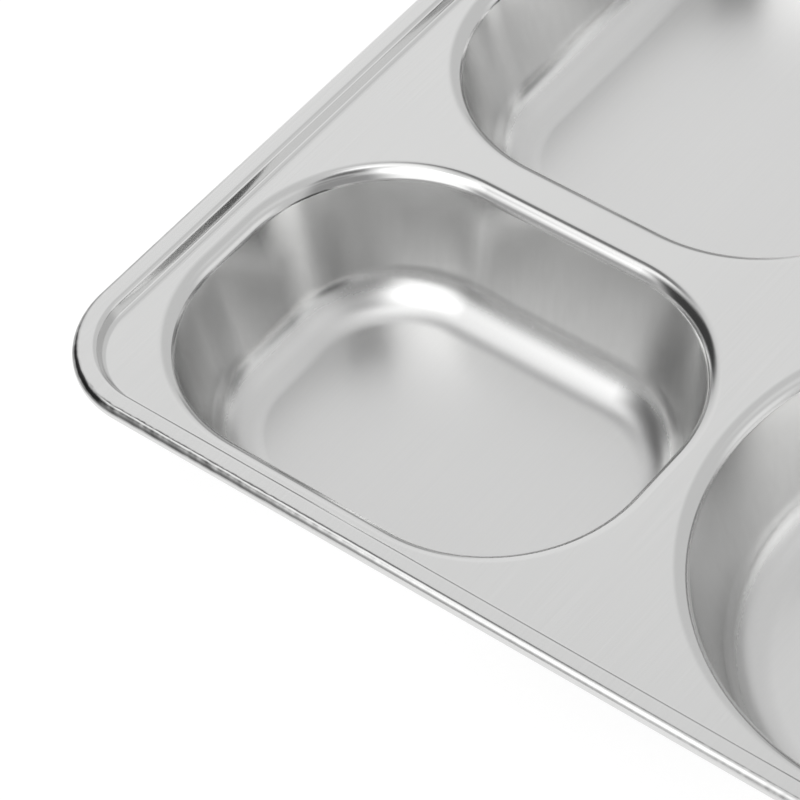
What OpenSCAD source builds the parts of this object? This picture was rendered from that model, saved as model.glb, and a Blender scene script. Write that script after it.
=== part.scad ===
// Five-well serving tray, drawn from one sheet of stainless steel.
// The sheet is divided along its bend lines into the rolled edge, the raised
// border, the flat deck and the five wells, which meet face to face.
// Origin under the middle of the tray, long side along X, soup bowl at the front left.

/* [Tray] */
// Overall length, along X
tray_l = 277; // [262:1:305]
// Overall width, along Y
tray_w = 217; // [205:1:240]
// Height of the border's top above the table
tray_h = 29; // [22:0.5:40]
// Thickness of the steel sheet
sheet_t = 0.6; // [0.4:0.1:0.8]
// Radius of the tray's corners in plan
corner_r = 19.6; // [14:0.2:24]

/* [Border] */
// Outside diameter of the rolled edge
roll_d = 3; // [2.4:0.1:3.6]
// How far round the sheet is rolled, in degrees
roll_turn = 250; // [200:5:300]
// Flat width between the rolled edge and the step
flange_w = 2; // [0.8:0.1:3]
// Drop from the border's top down to the deck
step_drop = 2.6; // [2.3:0.1:3.2]
// Width of the step in plan, from the flange to the deck
step_w = 2.34; // [2.3:0.02:3]
// Radius of both bends of the step, on the sheet's upper side
step_r = 1; // [0.8:0.05:1.1]
// Flat strip of deck left between the step and the end wells
end_strip = 0.4; // [0.2:0.1:3]
// Flat strip of deck left between the step and the wells along the long sides
side_strip = 1.6; // [0.4:0.1:4]

/* [Well walls] */
// Radius of the bend from the deck into a well, on the upper side
lip_r = 3; // [1.6:0.1:3.6]
// Radius of the bend from a wall into the floor, on the upper side
foot_r = 9; // [6:0.5:11]
// Width of a rectangular well's wall in plan, from the deck to the flat floor
wall_run = 15.8; // [14:0.2:18]
// Width of the soup bowl's wall in plan, from the deck to the flat floor
bowl_run = 16.5; // [14:0.1:22]
// Flat deck between neighbouring wells of one row
well_gap = 4.86; // [2:0.02:8]
// Flat deck between the back wells and the main well in front of them
row_gap = 3.5; // [1.5:0.5:8]
// Flat deck between the soup bowl and the corner well behind it
bowl_gap = 1.71; // [1:0.01:8]

/* [Back wells] */
// Width of each corner well at the deck, along X
corner_well_w = 73.7; // [66:0.1:80]
// Corner radius of the corner wells at the deck
corner_well_r = 31; // [22:0.5:34]
// Corner radius of the middle well at the deck
middle_well_r = 33.5; // [22:0.5:36]

/* [Front wells] */
// Diameter of the soup bowl at the deck
bowl_d = 105; // [90:0.1:108]
// Corner radius of the main well at the deck
main_well_r = 30; // [22:0.5:36]

/* [Hidden] */
steel = "silver";
// Overrun of the cutters past both faces of the sheet
overrun = sheet_t;
// Number of straight steps that stand for each small and each large bend
bend_steps = 6;
foot_steps = 10;
// A quarter of a turn in degrees, and the turn from one bend of a wall to the next
quarter_turn = 90;
half_turn = 2 * quarter_turn;
// Radius of the rolled edge, where the flange ends, and the whole border's width
roll_r = roll_d / 2;
flange_end = roll_r + flange_w;
border_w = flange_end + step_w;
// Height of the deck's upper side, and how far the wells' floors lie below it
deck_z = tray_h - step_drop;
well_depth = deck_z - sheet_t;
// Distance from the tray's outside to the wells, at the ends and along the sides
end_margin = border_w + end_strip;
side_margin = border_w + side_strip;
// Depth of the back wells along Y, which is what the soup bowl leaves of the width
back_well_d = tray_w - 2 * side_margin - bowl_d - bowl_gap;
// Places and sizes of the wells, [width, depth], and the middle of each
corner_well = [corner_well_w, back_well_d];
middle_well = [tray_l - 2 * (end_margin + corner_well_w + well_gap), back_well_d];
corner_at = [tray_l / 2 - end_margin - corner_well_w / 2,
             tray_w / 2 - side_margin - back_well_d / 2];
middle_at = [0, corner_at[1]];
bowl_at = [-tray_l / 2 + end_margin + bowl_d / 2, -tray_w / 2 + side_margin + bowl_d / 2];
main_x = [bowl_at[0] + bowl_d / 2 + well_gap, tray_l / 2 - end_margin];
main_y = [-tray_w / 2 + side_margin,
          middle_at[1] - back_well_d / 2 - row_gap];
main_well = [main_x[1] - main_x[0], main_y[1] - main_y[0]];
main_at = [(main_x[0] + main_x[1]) / 2, (main_y[0] + main_y[1]) / 2];

// Points of an arc about c, from angle a0 to a1 in n steps
function arc(c, r, a0, a1, n) =
    [for (i = [0:n]) let (a = a0 + (a1 - a0) * i / n) c + r * [cos(a), sin(a)]];

// One side of a sheet that bends down off a flat, runs down a slanted wall and bends
// level again, run further in and drop lower. It starts at height z, at distance r from
// the axis, and heads for the axis. shift is 0 for the sheet's upper side and its
// thickness for the lower side. The wall is the line that touches both bends, so their
// centres give its slant from upright.
function drop_side(r, z, run, drop, top_r, low_r, low_steps, shift) =
    let (top = [r, z - top_r],
         low = [r - run, z - drop + low_r],
         between = low - top,
         wall = sqrt(between * between - pow(top_r + low_r, 2)),
         slant = atan2(between[1], between[0]) - atan2(wall, top_r + low_r))
    concat(arc(top, top_r - shift, quarter_turn, slant + 2 * half_turn, bend_steps),
           arc(low, low_r + shift, slant + half_turn, -quarter_turn, low_steps));

function reversed(points) = [for (i = [len(points) - 1:-1:0]) points[i]];

// Carries an outline round a rectangle with rounded corners. The outline's X is the
// distance from a corner's centre and its Y is the height.
module round_sweep(size, r) {
    for (side = [0:3]) {
        centre = size[side % 2] / 2 - r;
        run = size[(side + 1) % 2] / 2 - r;
        rotate(90 * side)
            translate([centre, run, 0]) {
                rotate_extrude(angle = 90, $fn = 96) children();
                rotate([90, 0, 0]) linear_extrude(height = 2 * run) children();
            }
    }
}

// A flat plate with rounded corners, from height 0 up
module round_plate(size, r, h) {
    straight = size - 2 * [r, r];
    for (side = [0:3])
        rotate(90 * side)
            translate([straight[side % 2] / 2, straight[(side + 1) % 2] / 2, 0])
                rotate_extrude(angle = 90, $fn = 96) square([r, h]);
    translate([-straight[0] / 2, -size[1] / 2, 0]) cube([straight[0], size[1], h]);
    translate([-size[0] / 2, -straight[1] / 2, 0]) cube([size[0], straight[1], h]);
}

// Section of a well from its axis out: the flat floor, then the wall up to the deck
module well_section(r, run) {
    upper = drop_side(r, deck_z, run, well_depth, lip_r, foot_r, foot_steps, 0);
    lower = drop_side(r, deck_z, run, well_depth, lip_r, foot_r, foot_steps, sheet_t);
    polygon(concat(upper, [[0, sheet_t], [0, 0]], reversed(lower)));
}

// The middle of a well's floor, which reaches this far each way along X and Y
module floor_middle(reach) {
    translate([0, reach[1], 0])
        rotate([90, 0, 0])
            linear_extrude(height = 2 * reach[1])
                polygon([[-reach[0], 0], [reach[0], 0],
                         [reach[0], sheet_t], [-reach[0], sheet_t]]);
}

// A well with rounded corners. The middle of its floor runs into the strips at its ends.
module rectangular_well(size, r) {
    centre = size / 2 - [r, r];
    round_sweep(size, r) well_section(r, wall_run);
    floor_middle(centre + [(r - wall_run) / 2, 0]);
}

// The opening that a well takes out of the deck
module well_opening(size, r) {
    translate([0, 0, -overrun]) round_plate(size, r, sheet_t + 2 * overrun);
}

module rolled_edge() {
    centre = [corner_r - roll_r, tray_h - roll_r];
    turn_steps = 3 * foot_steps;
    curl_end = quarter_turn - roll_turn;
    color(steel)
        round_sweep([tray_l, tray_w], corner_r)
            polygon(concat(arc(centre, roll_r, quarter_turn, curl_end, turn_steps),
                           arc(centre, roll_r - sheet_t, curl_end, quarter_turn, turn_steps)));
}

module raised_border() {
    inner = corner_r - flange_end;
    outer = inner + flange_w;
    upper = drop_side(inner, tray_h, step_w, step_drop, step_r, step_r, bend_steps, 0);
    lower = drop_side(inner, tray_h, step_w, step_drop, step_r, step_r, bend_steps, sheet_t);
    color(steel)
        round_sweep([tray_l, tray_w], corner_r)
            polygon(concat([[outer, tray_h]], upper, reversed(lower), [[outer, tray_h - sheet_t]]));
}

module deck() {
    color(steel)
        translate([0, 0, deck_z - sheet_t])
            difference() {
                round_plate([tray_l - 2 * border_w, tray_w - 2 * border_w],
                            corner_r - border_w, sheet_t);
                for (side = [-1, 1])
                    translate([side * corner_at[0], corner_at[1], 0])
                        well_opening(corner_well, corner_well_r);
                translate(middle_at) well_opening(middle_well, middle_well_r);
                translate(main_at) well_opening(main_well, main_well_r);
                translate([bowl_at[0], bowl_at[1], -overrun])
                    cylinder(h = sheet_t + 2 * overrun, d = bowl_d, $fn = 180);
            }
}

module back_left_well() {
    color(steel) translate([-corner_at[0], corner_at[1], 0])
        rectangular_well(corner_well, corner_well_r);
}

module back_middle_well() {
    color(steel) translate(middle_at) rectangular_well(middle_well, middle_well_r);
}

module back_right_well() {
    color(steel) translate(corner_at) rectangular_well(corner_well, corner_well_r);
}

module soup_bowl() {
    flat = bowl_d / 2 - bowl_run;
    color(steel) translate(bowl_at) {
        rotate_extrude($fn = 180) well_section(bowl_d / 2, bowl_run);
        floor_middle([flat / 2, flat / 2]);
    }
}

module main_well() {
    color(steel) translate(main_at) rectangular_well(main_well, main_well_r);
}

rolled_edge();
raised_border();
deck();
back_left_well();
back_middle_well();
back_right_well();
soup_bowl();
main_well();
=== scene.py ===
"""Stainless steel serving tray with five wells, standing on a pale table.

The tray is pressed from one sheet: a rolled edge, a raised border, a flat deck and five wells.
All lengths are in metres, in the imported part's frame, with the long side along X, the back row of
wells towards +Y and the table at zero.
"""

import math

import bpy
import numpy as np
from mathutils import Matrix, Vector
from mathutils.geometry import delaunay_2d_cdt


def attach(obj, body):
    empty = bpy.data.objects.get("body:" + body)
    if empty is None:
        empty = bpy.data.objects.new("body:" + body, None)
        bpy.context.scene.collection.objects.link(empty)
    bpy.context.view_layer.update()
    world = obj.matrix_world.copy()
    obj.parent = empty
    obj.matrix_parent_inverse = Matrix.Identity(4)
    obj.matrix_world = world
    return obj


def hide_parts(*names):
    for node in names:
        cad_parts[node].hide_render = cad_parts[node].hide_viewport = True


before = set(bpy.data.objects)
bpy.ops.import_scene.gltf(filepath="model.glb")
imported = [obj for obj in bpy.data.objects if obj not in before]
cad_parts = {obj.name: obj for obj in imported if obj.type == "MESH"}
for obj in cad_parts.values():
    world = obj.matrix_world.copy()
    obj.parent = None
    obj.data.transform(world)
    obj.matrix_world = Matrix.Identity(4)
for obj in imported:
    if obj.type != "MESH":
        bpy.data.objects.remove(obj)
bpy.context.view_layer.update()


# Rolled edge. The rim of the sheet is curled under into a bead all round, so that no cut edge is
# left to touch. It is the same 0.6 mm stainless steel as the rest, rolled after the pressing.
tray_size = np.array([0.277, 0.217])
tray_height = 0.029
tray_corner = 0.0196
sheet = 0.0006
bead_radius = 0.0015
bead_turn = 250
bead_steps = 48
cut_edge_angle = 40
short_step_share = 0.03
straight_shares = np.array([0.02, 0.25, 0.5, 0.75, 0.98])


def steps_between(start, end, count):
    """Even steps from start to end, with a very short first and last one, so that the shading of a
    bend runs into the straight sheet beside it without a break."""
    short = short_step_share / count
    share = np.concatenate([[0, short], np.arange(1, count) / count, [1 - short, 1]])
    return start + (end - start) * share


def bend(centre, radius, start, end, count):
    """Points of a bend seen in section, [inwards, up]: the centre plus the radius times the cosine
    and sine of an angle that turns from start to end, in degrees."""
    angle = np.radians(steps_between(start, end, count))
    return np.array(centre) + radius * np.stack([np.cos(angle), np.sin(angle)], 1)


def rounded_path(centre, size, corner, corner_steps=30):
    """A rectangle with rounded corners as a list of axis points and outward directions. At a corner
    the axis point stays at the corner's centre while the direction turns by 90 degrees, and then it
    moves to the next corner's centre. The outline drawn in by a distance is the axis point plus
    (corner - distance) times the direction."""
    corner_angle = steps_between(0, 90, corner_steps)
    angle = np.concatenate([corner_angle, np.full(len(straight_shares), 90)])
    moved_share = np.concatenate([np.zeros(len(corner_angle)), straight_shares])
    turn = np.radians(180 + (90 * np.arange(4)[:, None] + angle))
    direction = np.stack([np.cos(turn), np.sin(turn)], 2)
    signs = np.array([[-1, -1], [1, -1], [1, 1], [-1, 1]])
    corner_centre = np.array(centre) + signs * (np.array(size) / 2 - corner)
    side = np.roll(corner_centre, -1, 0) - corner_centre
    axis = corner_centre[:, None] + side[:, None] * moved_share[:, None]
    return axis.reshape(-1, 2), direction.reshape(-1, 2), corner


def carried(path, section):
    """Rings of points, one for each point of the section: its first number is the distance inwards
    from the path's outline and its second is the height."""
    axis, direction, corner = path
    flat = axis[None] + (corner - section[:, :1, None]) * direction[None]
    high = np.broadcast_to(section[:, 1, None, None], flat.shape[:2] + (1,))
    return np.concatenate([flat, high], 2)


def grid_faces(rows, columns, closed):
    """Faces between neighbouring rings of a grid, each ring closed, and the last row joined to the
    first where the section is closed."""
    row = np.arange(rows if closed else rows - 1)[:, None]
    column = np.arange(columns)[None]
    after = (row + 1) % rows
    beside = (column + 1) % columns
    corners = [row * columns + column, after * columns + column,
               after * columns + beside, row * columns + beside]
    return np.stack(np.broadcast_arrays(*corners), 2).reshape(-1, 4).tolist()


def steel_piece(name, node, points, faces, finish):
    """Makes the mesh, shades it smooth with the cut edges kept sharp, gives it its finish and lets
    it stand for the CAD node."""
    mesh = bpy.data.meshes.new(name)
    mesh.from_pydata(points.reshape(-1, 3).tolist(), [], faces)
    mesh.shade_smooth()
    mesh.set_sharp_from_angle(angle=math.radians(cut_edge_angle))
    mesh.materials.append(finish)
    piece = bpy.data.objects.new(name, mesh)
    bpy.context.scene.collection.objects.link(piece)
    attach(piece, "root")
    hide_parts(node)


class Tone:
    """A value that changes over a surface, which is one socket of a node tree. Sums and products of
    tones and numbers add Math nodes."""

    def __init__(self, tree, socket=None):
        self.tree = tree
        self.socket = socket

    def node(self, kind, settings, sockets, output=0):
        """Adds a node of the kind, sets its settings and then its sockets, and gives one output.
        The last node of a tree has none."""
        made = self.tree.nodes.new(kind)
        for key, value in settings.items():
            setattr(made, key, value)
        for key, value in sockets.items():
            if isinstance(value, Tone):
                self.tree.links.new(value.socket, made.inputs[key])
            else:
                made.inputs[key].default_value = value
        return Tone(self.tree, made.outputs[output]) if made.outputs else None

    def maths(self, operation, *values):
        return self.node("ShaderNodeMath", {"operation": operation}, dict(enumerate(values)))

    def __add__(self, other):
        return self.maths("ADD", self, other)

    def __radd__(self, other):
        return self.maths("ADD", other, self)

    def __sub__(self, other):
        return self.maths("SUBTRACT", self, other)

    def __rsub__(self, other):
        return self.maths("SUBTRACT", other, self)

    def __mul__(self, other):
        return self.maths("MULTIPLY", self, other)

    def __rmul__(self, other):
        return self.maths("MULTIPLY", other, self)

    def rise(self, low, high):
        """0 below low, 1 above high, and a soft step between them."""
        settings = {"interpolation_type": "SMOOTHSTEP"}
        return self.node("ShaderNodeMapRange", settings, {0: self, 1: low, 2: high, 3: 0.0, 4: 1.0})


def pressed_steel(name, drawn=False, curled=False):
    """Bright stainless sheet with the mill's rolling grain along the tray, faint smears and hair
    scratches. Drawn steel has burnished lips, upright press marks and slight unevenness on its
    walls, and a satin floor whose colour is lightened a little as a painted brighter reflection.
    Curled steel has wrinkles, and a darker band along the bead's flank that is partly the edge
    roller's dull track and partly a painted dark reflection, both strongest near the tray's
    corners. Relief is in metres."""
    material = bpy.data.materials.new(name)
    material.use_nodes = True
    tree = material.node_tree
    tree.nodes.clear()
    start = Tone(tree)
    place = start.node("ShaderNodeTexCoord", {}, {}, "Object")

    def position(axis):
        return start.node("ShaderNodeSeparateXYZ", {}, {0: place}, axis)

    def noise(spots, turn, detail):
        """Noise with about so many spots to the metre along X, Y and Z, turned about Z."""
        spread = start.node("ShaderNodeMapping", {},
                            {"Vector": place, "Scale": spots, "Rotation": (0, 0, math.radians(turn))})
        return start.node("ShaderNodeTexNoise", {}, {"Vector": spread, "Scale": 1.0, "Detail": detail})

    grain = noise((35, 3600, 3600), 0, 2.0)
    smears = noise((16, 45, 45), 25, 3.0)
    clouds = noise((45, 45, 45), 0, 2.0)
    hairs = noise((60, 5200, 5200), 34, 0.0).rise(0.82, 0.86)
    more_hairs = noise((70, 5600, 5600), -57, 0.0).rise(0.83, 0.87)
    scratches = hairs + more_hairs
    roughness = 0.10 + smears * 0.05 + grain * 0.02
    shade = 0.66 + smears * 0.04 + grain * (0.03 if drawn else 0.05)
    relief = clouds * 1.2e-5
    surface_marks = grain * 2.2e-7 - scratches * 3.0e-7
    if drawn:
        floor_end, wall_start = 0.0015, 0.0060
        wall_end, lip_start = 0.0190, 0.0255
        level = position("Z")
        above_floor = level.rise(floor_end, wall_start)
        floor = 1 - above_floor
        below_lip = 1 - level.rise(wall_end, lip_start)
        wall = above_floor * below_lip
        marks = noise((700, 700, 24), 0, 2.0)
        dents = noise((60, 60, 20), 0, 1.0)
        relief = relief + wall * (marks * 6.0e-7 + dents * 5.0e-5)
        roughness = roughness + below_lip * 0.07 + floor * 0.10 + wall * marks * 0.03
        surface_marks = surface_marks * (1 - wall)
        # The floor's colour is lightened a little as a painted brighter reflection; the streaks on the
        # walls follow the press marks.
        shade = shade + wall * (marks - 0.5) * 0.07 + floor * 0.05
    if curled:
        wrinkle_height = 1.0e-4
        near_end_from, near_end_full = 0.060, 0.120
        near_side_from, near_side_full = 0.020, 0.075
        dark_band_from, dark_band_full = 0.0278, 0.0283
        dark_band_fades, dark_band_end = 0.02878, 0.02896
        level = position("Z")
        near_end = start.maths("ABSOLUTE", position("X")).rise(near_end_from, near_end_full)
        near_side = start.maths("ABSOLUTE", position("Y")).rise(near_side_from, near_side_full)
        near_corner = near_end * near_side
        wrinkles = noise((420, 420, 420), 0, 1.0)
        roller_track_and_painted_reflection = level.rise(dark_band_from, dark_band_full) * (1 - level.rise(dark_band_fades, dark_band_end))
        relief = relief + wrinkles * (near_corner * 0.75 + 0.25) * wrinkle_height
        # Darkens the colour along the bead's flank near the corners: partly the roller's dull track and
        # partly a painted dark reflection, mottled by the wrinkle noise.
        shade = shade * (1 - roller_track_and_painted_reflection * near_corner * (wrinkles * 0.7 + 0.25))
    relief = relief + surface_marks
    roughness = roughness + scratches * 0.05
    slightly_warm = {0: shade, 1: shade, 2: shade * 0.995}
    colour = start.node("ShaderNodeCombineColor", {}, slightly_warm)
    bumps = start.node("ShaderNodeBump", {}, {"Height": relief, "Distance": 1.0, "Strength": 1.0})
    metal = start.node("ShaderNodeBsdfPrincipled", {},
                       {"Base Color": colour, "Metallic": 1.0, "Roughness": roughness, "Normal": bumps})
    start.node("ShaderNodeOutputMaterial", {}, {"Surface": metal})
    return material


curled_steel = pressed_steel("curled_steel", curled=True)
tray_path = rounded_path((0, 0), tray_size, tray_corner)
bead_centre = (bead_radius, tray_height - bead_radius)
bead_outside = bend(bead_centre, bead_radius, 90, 90 + bead_turn, bead_steps)
bead_inside = bend(bead_centre, bead_radius - sheet, 90 + bead_turn, 90, bead_steps)
bead_rings = carried(tray_path, np.concatenate([bead_outside, bead_inside]))
steel_piece("rolled_bead", "rolled_edge", bead_rings,
            grid_faces(*bead_rings.shape[:2], True), curled_steel)


# Raised border. A narrow flat beside the bead and a step down to the deck stiffen the tray and keep
# spills on it. It is bent in the stroke of the press that also draws the wells.
flange_width = 0.002
step_drop = 0.0026
step_width = 0.00234
step_radius = 0.001
step_bend_steps = (20, 20)
border_width = bead_radius + flange_width + step_width
deck_height = tray_height - step_drop
wall_shares = np.array([0.02, 0.2, 0.4, 0.6, 0.8, 0.98])
flat_steel = pressed_steel("flat_steel")


def falling_side(run, drop, top_radius, low_radius, below, bend_steps):
    """One side of a sheet that bends off a flat, runs down a slanted wall and bends level again, run
    further in and drop lower. The wall is the line that touches both bends, so its length is the
    root of the squared distance between their centres less the squared sum of their radii. below
    is 0 for the upper side and the sheet's thickness for the lower one."""
    between = np.array([run, low_radius - drop + top_radius])
    reach = top_radius + low_radius
    wall = math.sqrt(between @ between - reach ** 2)
    slant = math.degrees(math.atan2(between[1], between[0]) + math.atan2(wall, reach))
    top = bend((0, -top_radius), top_radius - below, 90, slant, bend_steps[0])
    low = bend((run, low_radius - drop), low_radius + below, 180 + slant, 270, bend_steps[1])
    middle = top[-1] + (low[0] - top[-1]) * wall_shares[:, None]
    return np.concatenate([top, middle, low])


def sheet_section(run, drop, top_radius, low_radius, start, bend_steps):
    """Upper side from the outside in and lower side back out, which close into one section."""
    upper = falling_side(run, drop, top_radius, low_radius, 0, bend_steps)
    lower = falling_side(run, drop, top_radius, low_radius, sheet, bend_steps)
    return upper + start, lower[::-1] + start


border_start = np.array([bead_radius + flange_width, tray_height])
border_upper, border_lower = sheet_section(step_width, step_drop, step_radius, step_radius,
                                           border_start, step_bend_steps)
near_flange_end = bead_radius + flange_width * straight_shares[-1]
flange_top = np.array([[bead_radius, tray_height], [near_flange_end, tray_height]])
flange_under = flange_top[::-1] - [0, sheet]
border_section = np.concatenate([flange_top, border_upper, border_lower, flange_under])
border_rings = carried(tray_path, border_section[::-1])
steel_piece("border_step", "raised_border", border_rings,
            grid_faces(*border_rings.shape[:2], True), flat_steel)


# Deck. The flat top of the tray between the border and the wells, left as the sheet came from the
# mill. Its openings end exactly where the wells' bends begin.
end_strip = 0.0004
side_strip = 0.0016
well_gap = 0.00486
row_gap = 0.0035
bowl_gap = 0.00171
bowl_size = 0.105
corner_well_width = 0.0737
corner_well_corner = 0.031
middle_well_corner = 0.0335
main_well_corner = 0.030
inner = tray_size / 2 - border_width - [end_strip, side_strip]
back_well_depth = 2 * inner[1] - bowl_size - bowl_gap
middle_well_width = 2 * (inner[0] - corner_well_width - well_gap)
back_row = inner[1] - back_well_depth / 2
corner_column = inner[0] - corner_well_width / 2
bowl_middle = -inner + bowl_size / 2
main_low = np.array([bowl_middle[0] + bowl_size / 2 + well_gap, -inner[1]])
main_high = np.array([inner[0], back_row - back_well_depth / 2 - row_gap])
corner_well = (corner_well_width, back_well_depth)
middle_well = (middle_well_width, back_well_depth)
wells = {
    "back_left_well": ((-corner_column, back_row), corner_well, corner_well_corner),
    "back_middle_well": ((0, back_row), middle_well, middle_well_corner),
    "back_right_well": ((corner_column, back_row), corner_well, corner_well_corner),
    "main_well": ((main_low + main_high) / 2, main_high - main_low, main_well_corner),
}
well_paths = {name: rounded_path(*well) for name, well in wells.items()}


def round_path(centre, radius, steps=180):
    """A circle as axis points and outward directions, with every axis point at its centre."""
    turn = np.radians(180) + np.arange(steps) * (2 * math.pi / steps)
    direction = np.stack([np.cos(turn), np.sin(turn)], 1)
    return np.tile(np.array(centre, float), (steps, 1)), direction, radius


well_paths["soup_bowl"] = round_path(bowl_middle, bowl_size / 2)

# The deck's outer edge and its five openings are closed loops of points, and the flat between them
# is filled with triangles.
deck_loops = [carried(tray_path, np.array([[border_width, 0.0]]))[0, :, :2]]
deck_loops += [carried(path, np.array([[0.0, 0.0]]))[0, :, :2] for path in well_paths.values()]
loop_start = np.cumsum([0] + [len(loop) for loop in deck_loops])
deck_points = np.concatenate(deck_loops)
loop_edges = np.concatenate([
    np.stack([np.arange(len(loop)), np.roll(np.arange(len(loop)), -1)], 1) + start
    for loop, start in zip(deck_loops, loop_start)])
fill_whole_hull = 0
merge_distance = 1e-8
filled = delaunay_2d_cdt([Vector(point) for point in deck_points], loop_edges.tolist(), [],
                         fill_whole_hull, merge_distance, False)
flat_points = np.array([list(point) for point in filled[0]])
triangles = np.array([list(face) for face in filled[2]])


def crossings(points, outline, edges):
    """How many of the outline's edges a ray from each point towards +X crosses. An odd count means
    that the point lies on the sheet, and an even one that it lies in an opening or outside."""
    x = points[:, 0, None]
    y = points[:, 1, None]
    x0, y0 = outline[edges[:, 0]].T
    x1, y1 = outline[edges[:, 1]].T
    spans = (y0 > y) != (y1 > y)
    climb = np.where(y1 == y0, 1.0, y1 - y0)
    crossing = x0 + (y - y0) * (x1 - x0) / climb
    return (spans & (crossing > x)).sum(1)


# Triangles in the openings are dropped, and all others are turned to face up.
middles = flat_points[triangles].mean(1)
triangles = triangles[crossings(middles, deck_points, loop_edges) % 2 == 1]
first, second, third = flat_points[triangles].transpose(1, 0, 2)
faces_up = np.cross(second - first, third - first) > 0
triangles = np.where(faces_up[:, None], triangles, triangles[:, ::-1])
top_count = len(flat_points)
deck_top = np.column_stack([flat_points, np.full(top_count, deck_height)])
deck_under = np.column_stack([flat_points, np.full(top_count, deck_height - sheet)])

# The cut sides face away from the sheet: outwards round the deck, and into each opening.
on_outer_edge = np.arange(len(deck_points)) < len(deck_loops[0])
near, far = np.where(on_outer_edge, loop_edges.T, loop_edges.T[::-1])
sides = np.stack([near + top_count, far + top_count, far, near], 1)
deck_faces = triangles.tolist() + (triangles[:, ::-1] + top_count).tolist() + sides.tolist()
steel_piece("deck_sheet", "deck", np.concatenate([deck_top, deck_under]), deck_faces, flat_steel)


# Wells. Four wells with rounded corners are drawn down from the deck in one press, each with a tight
# bend at the deck, a slanted wall and a wide bend into its flat floor, on which the tray stands.
lip_radius = 0.003
foot_radius = 0.009
wall_run = 0.0158
well_bend_steps = (30, 40)
well_drop = deck_height - sheet
drawn_steel = pressed_steel("drawn_steel", drawn=True)


def well_mesh(path, run):
    """Rings from the middle of the floor out to the wall, up over the bend to the deck, round the
    cut and back under the sheet to the middle again. A floor ring is the floor's outline with its
    distances from the middle times a share. Both middles are closed with a fan of triangles."""
    upper, lower = sheet_section(run, well_drop, lip_radius, foot_radius,
                                 np.array([0, deck_height]), well_bend_steps)
    axis = path[0]
    middle = (axis.max(0) + axis.min(0)) / 2

    def floor_rings(edge):
        centre = np.array([*middle, edge[0, 2]])
        return centre + (edge[None] - centre) * straight_shares[:, None, None]

    top = carried(path, upper[::-1])
    under = carried(path, lower[::-1])
    rings = np.concatenate([floor_rings(top[0]), top, under, floor_rings(under[-1])[::-1]])
    rows, columns = rings.shape[:2]
    poles = [[*middle, rings[0, 0, 2]], [*middle, rings[-1, 0, 2]]]
    upper_pole = np.full(columns, rows * columns)
    column = np.arange(columns)
    beside = (column + 1) % columns
    last_ring = (rows - 1) * columns
    upper_fan = np.column_stack([upper_pole, column, beside])
    lower_fan = np.column_stack([upper_pole + 1, last_ring + beside, last_ring + column])
    faces = grid_faces(rows, columns, False) + upper_fan.tolist() + lower_fan.tolist()
    return np.concatenate([rings.reshape(-1, 3), poles]), faces


for node in wells:
    well_points, well_faces = well_mesh(well_paths[node], wall_run)
    steel_piece(node + "_drawn", node, well_points, well_faces, drawn_steel)


# Soup bowl. The round well at the front left, drawn from the sheet in the same stroke. Its wall
# leans out a little further than the others, so that a spoon can follow it.
bowl_run = 0.0165
bowl_points, bowl_faces = well_mesh(well_paths["soup_bowl"], bowl_run)
steel_piece("soup_bowl_drawn", "soup_bowl", bowl_points, bowl_faces, drawn_steel)


# Table and studio. The tray stands on a plain white table, and its steel mirrors the studio round
# it. That is mostly pale, with a wide lamp past the tray's left end, another one overhead, and dark
# gaps between its screens.
table_reach = 3
table_top = -0.0002
table_glow = 1.14
glow_share = 0.75
table_signs = ((-1, -1), (1, -1), (1, 1), (-1, 1))
table_corners = [(x * table_reach, y * table_reach, table_top) for x, y in table_signs]
table_mesh = bpy.data.meshes.new("table")
table_mesh.from_pydata(table_corners, [], [(0, 1, 2, 3)])
table_paint = bpy.data.materials.new("table_white")
table_paint.use_nodes = True
paint_tree = table_paint.node_tree
paint_tree.nodes.clear()
paint = Tone(paint_tree)
seen = paint.node("ShaderNodeLightPath", {}, {}, "Is Camera Ray")
mirrored = paint.node("ShaderNodeLightPath", {}, {}, "Is Glossy Ray")
chalk = paint.node("ShaderNodeBsdfDiffuse", {}, {"Color": (0.9, 0.9, 0.9, 1)})
glow = paint.node("ShaderNodeEmission", {}, {"Color": (1, 1, 1, 1), "Strength": table_glow})
blend = paint.node("ShaderNodeMixShader", {}, {0: (seen + mirrored) * glow_share, 1: chalk, 2: glow})
paint.node("ShaderNodeOutputMaterial", {}, {"Surface": blend})
table_mesh.materials.append(table_paint)
table = bpy.data.objects.new("table", table_mesh)
bpy.context.scene.collection.objects.link(table)

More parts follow.
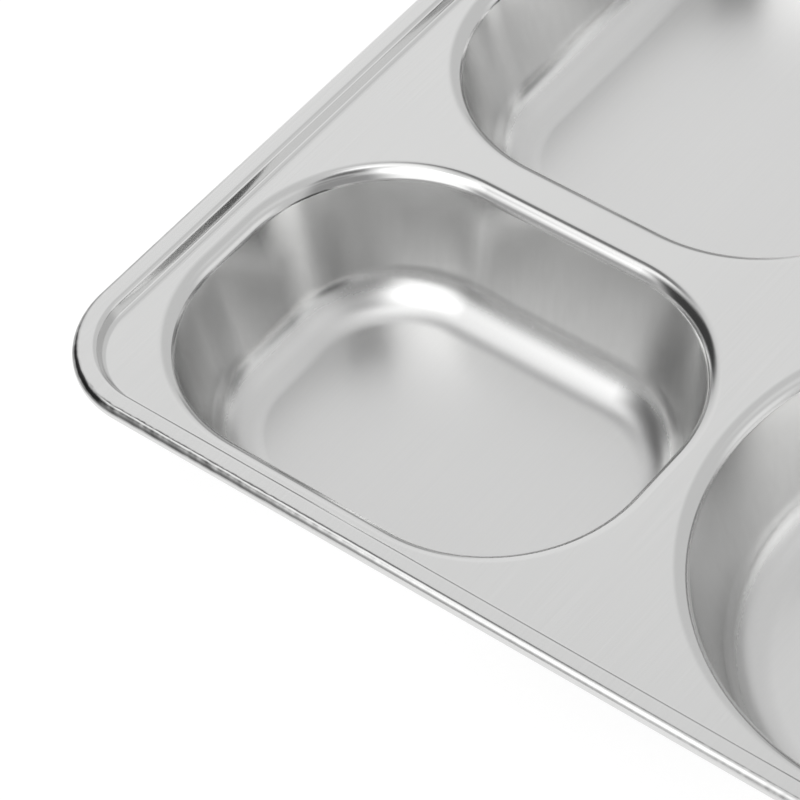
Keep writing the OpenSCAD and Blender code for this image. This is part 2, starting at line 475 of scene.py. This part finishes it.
# Each row: middle of the patch as an azimuth from +X, half its width, lowest and highest elevation,
# softness of its edge, all in degrees, and its brightness. A row covers the rows above it, and the
# last one is the lamp overhead, which reaches all round. The level and most rows aren't chosen by
# hand: a scratch program fitted them to the grey levels of the steel in the photograph.
studio_level = 0.73
studio_patches = [
    (103, 74, 73, 85, 5, 1.30),
    (45, 21, -14, 55, 15, 0.98),
    (25, 11, -14, 16, 4, 0.40),
    (297, 13, 5, 28, 8, 1.02),
    (297, 25, 46, 57, 13, 0.95),
    (249, 24, 60, 80, 8, 0.18),
    (248, 16, 40, 55, 7, 0.35),
    (223, 39, -7, 41, 7, 0.37),
    (108, 29, 4, 48, 8, 0.06),
    (118, 24, 55, 66, 5, 1.40),
    (185, 28, -2, 63, 13, 1.46),
    (176, 36, 40, 72, 16, 2.44),
    (68, 18, 56, 66, 4, 0.15),
    (151, 9, -5, 24, 6, 0.45),
    (0, 190, 85, 100, 5, 1.90),
]
world = bpy.data.worlds.new("studio")
bpy.context.scene.world = world
world.use_nodes = True
sky_tree = world.node_tree
sky_tree.nodes.clear()
sky = Tone(sky_tree)
ray = sky.node("ShaderNodeTexCoord", {}, {}, "Generated")
east, north, high = (sky.node("ShaderNodeSeparateXYZ", {}, {0: ray}, axis) for axis in "XYZ")
elevation = sky.maths("ARCSINE", high) * math.degrees(1)
light = studio_level
for azimuth, half, low, top, soft, brightness in studio_patches:
    aim = math.radians(azimuth)
    ahead = east * math.cos(aim) + north * math.sin(aim)
    aside = north * math.cos(aim) - east * math.sin(aim)
    apart = sky.maths("ABSOLUTE", sky.maths("ARCTAN2", aside, ahead)) * math.degrees(1)
    mask = (1 - apart.rise(half - soft, half + soft)) * elevation.rise(low - soft, low + soft)
    mask = mask * (1 - elevation.rise(top - soft, top + soft))
    light = mask * (brightness - light) + light
direct = sky.node("ShaderNodeLightPath", {}, {}, "Is Camera Ray")
shown = direct + (1 - direct) * light
backdrop = sky.node("ShaderNodeBackground", {}, {"Color": (1, 1, 1, 1), "Strength": shown})
sky.node("ShaderNodeOutputWorld", {}, {"Surface": backdrop})

bpy.context.scene.view_settings.view_transform = "Standard"

# Camera. It stands to the front left of the tray with a long lens and looks down across the back
# left corner. A scratch program solved its place, directions and lens, together with the tray's
# plan, from edge points that it found near lines drawn by hand on the photograph.
camera_data = bpy.data.cameras.new("camera")
camera_data.sensor_width = 36
camera_data.lens = 181.19
camera_data.clip_start = 0.01
camera_data.clip_end = 50
camera = bpy.data.objects.new("camera", camera_data)
bpy.context.scene.collection.objects.link(camera)
camera_right = (0.6192, -0.7817, -0.0744)
camera_up = (0.6210, 0.4296, 0.6556)
camera_back = (-0.4805, -0.4521, 0.7515)
camera_place = (-0.42992, -0.25150, 0.53089)
camera_rows = zip(camera_right, camera_up, camera_back, camera_place)
camera.matrix_world = Matrix([*camera_rows, (0, 0, 0, 1)])
bpy.context.scene.camera = camera
